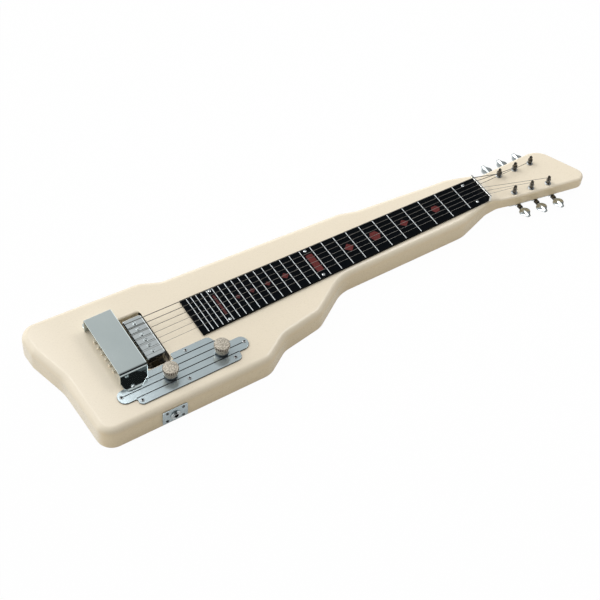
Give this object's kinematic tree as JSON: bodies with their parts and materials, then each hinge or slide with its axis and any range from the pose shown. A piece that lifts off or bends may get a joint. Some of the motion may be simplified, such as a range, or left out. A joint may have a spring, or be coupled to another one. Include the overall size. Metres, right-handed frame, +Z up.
{
  "type": "lap steel guitar",
  "caption": "Solid lap steel guitar with a stepped body, metal bridge cover, pickup, side jack, black board with painted fret lines, and a slanted headstock with tuning machines.",
  "frame": {"origin": "on the flat underside of the body, on the centre line of the strings, halfway along the whole length", "axes": "+X along the strings from the bridge to the headstock, +Y across the strings towards the player, +Z up out of the playing face"},
  "size_m": [0.8311, 0.209, 0.061],
  "materials": {
    "lacquered_wood": "aged cream gloss lacquer over solid hardwood",
    "fretboard_black": "satin black sheet with painted white lines",
    "chrome": "polished chrome plate",
    "steel": "bright steel",
    "string_steel": "plain and wound steel wire",
    "brass": "plain brass",
    "black_plastic": "black moulding with taped coil"
  },
  "bodies": {
    "instrument": {"body": "lacquered_wood", "fretboard": "fretboard_black", "nut": "chrome", "bridge_plate": "chrome", "saddle": "steel", "bridge_cover": "chrome", "pickup_base": "brass", "pickup_coil": "black_plastic", "pickup_cover": "chrome", "control_plate": "chrome", "jack_plate": "chrome", "jack_socket": "steel", "jack_nut": "chrome", "volume_pot": "steel", "tone_pot": "steel", "plate_screw_1": "chrome", "plate_screw_2": "chrome", "plate_screw_3": "chrome", "plate_screw_4": "chrome", "plate_screw_5": "chrome", "plate_screw_6": "chrome", "tuner_plate_far": "chrome", "tuner_plate_near": "chrome", "string_1": "string_steel", "pole_screw_1": "chrome", "tuner_bushing_1": "chrome", "string_2": "string_steel", "pole_screw_2": "chrome", "tuner_bushing_2": "chrome", "string_3": "string_steel", "pole_screw_3": "chrome", "tuner_bushing_3": "chrome", "string_4": "string_steel", "pole_screw_4": "chrome", "tuner_bushing_4": "chrome", "string_5": "string_steel", "pole_screw_5": "chrome", "tuner_bushing_5": "chrome", "string_6": "string_steel", "pole_screw_6": "chrome", "tuner_bushing_6": "chrome"},
    "volume_control": {"volume_pot_shaft": "brass", "volume_knob": "chrome"},
    "tone_control": {"tone_pot_shaft": "brass", "tone_knob": "chrome"},
    "tuner_shaft_1": {"tuner_button_1": "chrome"},
    "tuner_spindle_1": {"tuner_post_1": "chrome"},
    "tuner_shaft_2": {"tuner_button_2": "chrome"},
    "tuner_spindle_2": {"tuner_post_2": "chrome"},
    "tuner_shaft_3": {"tuner_button_3": "chrome"},
    "tuner_spindle_3": {"tuner_post_3": "chrome"},
    "tuner_shaft_4": {"tuner_button_4": "chrome"},
    "tuner_spindle_4": {"tuner_post_4": "chrome"},
    "tuner_shaft_5": {"tuner_button_5": "chrome"},
    "tuner_spindle_5": {"tuner_post_5": "chrome"},
    "tuner_shaft_6": {"tuner_button_6": "chrome"},
    "tuner_spindle_6": {"tuner_post_6": "chrome"}
  },
  "joints": [
    {"name": "volume_turn", "type": "hinge", "parent": "instrument", "child": "volume_control", "pos_m": [-0.20585, -0.0667, 0.06], "axis": [0, 0, 1], "range_deg": [-150, 150]},
    {"name": "tone_turn", "type": "hinge", "parent": "instrument", "child": "tone_control", "pos_m": [-0.27965, -0.0667, 0.06], "axis": [0, 0, 1], "range_deg": [-150, 150]},
    {"name": "button_turn_1", "type": "hinge", "parent": "instrument", "child": "tuner_shaft_1", "pos_m": [0.30885, -0.0222, 0.0088], "axis": [0, -1, 0], "continuous": true},
    {"name": "post_turn_1", "type": "hinge", "parent": "instrument", "child": "tuner_spindle_1", "pos_m": [0.30225, -0.0222, 0.02], "axis": [0, 0, 1], "continuous": true},
    {"name": "button_turn_2", "type": "hinge", "parent": "instrument", "child": "tuner_shaft_2", "pos_m": [0.33609, -0.02666, 0.0088], "axis": [0, -1, 0], "continuous": true},
    {"name": "post_turn_2", "type": "hinge", "parent": "instrument", "child": "tuner_spindle_2", "pos_m": [0.32949, -0.02666, 0.02], "axis": [0, 0, 1], "continuous": true},
    {"name": "button_turn_3", "type": "hinge", "parent": "instrument", "child": "tuner_shaft_3", "pos_m": [0.36332, -0.03112, 0.0088], "axis": [0, -1, 0], "continuous": true},
    {"name": "post_turn_3", "type": "hinge", "parent": "instrument", "child": "tuner_spindle_3", "pos_m": [0.35672, -0.03112, 0.02], "axis": [0, 0, 1], "continuous": true},
    {"name": "button_turn_4", "type": "hinge", "parent": "instrument", "child": "tuner_shaft_4", "pos_m": [0.36462, 0.01337, 0.0088], "axis": [0, 1, 0], "continuous": true},
    {"name": "post_turn_4", "type": "hinge", "parent": "instrument", "child": "tuner_spindle_4", "pos_m": [0.35802, 0.01337, 0.02], "axis": [0, 0, 1], "continuous": true},
    {"name": "button_turn_5", "type": "hinge", "parent": "instrument", "child": "tuner_shaft_5", "pos_m": [0.33703, 0.01429, 0.0088], "axis": [0, 1, 0], "continuous": true},
    {"name": "post_turn_5", "type": "hinge", "parent": "instrument", "child": "tuner_spindle_5", "pos_m": [0.33043, 0.01429, 0.02], "axis": [0, 0, 1], "continuous": true},
    {"name": "button_turn_6", "type": "hinge", "parent": "instrument", "child": "tuner_shaft_6", "pos_m": [0.30945, 0.0152, 0.0088], "axis": [0, 1, 0], "continuous": true},
    {"name": "post_turn_6", "type": "hinge", "parent": "instrument", "child": "tuner_spindle_6", "pos_m": [0.30285, 0.0152, 0.02], "axis": [0, 0, 1], "continuous": true}
  ],
  "couplings": [
    {"joint": "post_turn_1", "follows": "button_turn_1", "ratio": 0.083333},
    {"joint": "post_turn_2", "follows": "button_turn_2", "ratio": 0.083333},
    {"joint": "post_turn_3", "follows": "button_turn_3", "ratio": 0.083333},
    {"joint": "post_turn_4", "follows": "button_turn_4", "ratio": -0.083333},
    {"joint": "post_turn_5", "follows": "button_turn_5", "ratio": -0.083333},
    {"joint": "post_turn_6", "follows": "button_turn_6", "ratio": -0.083333}
  ]
}
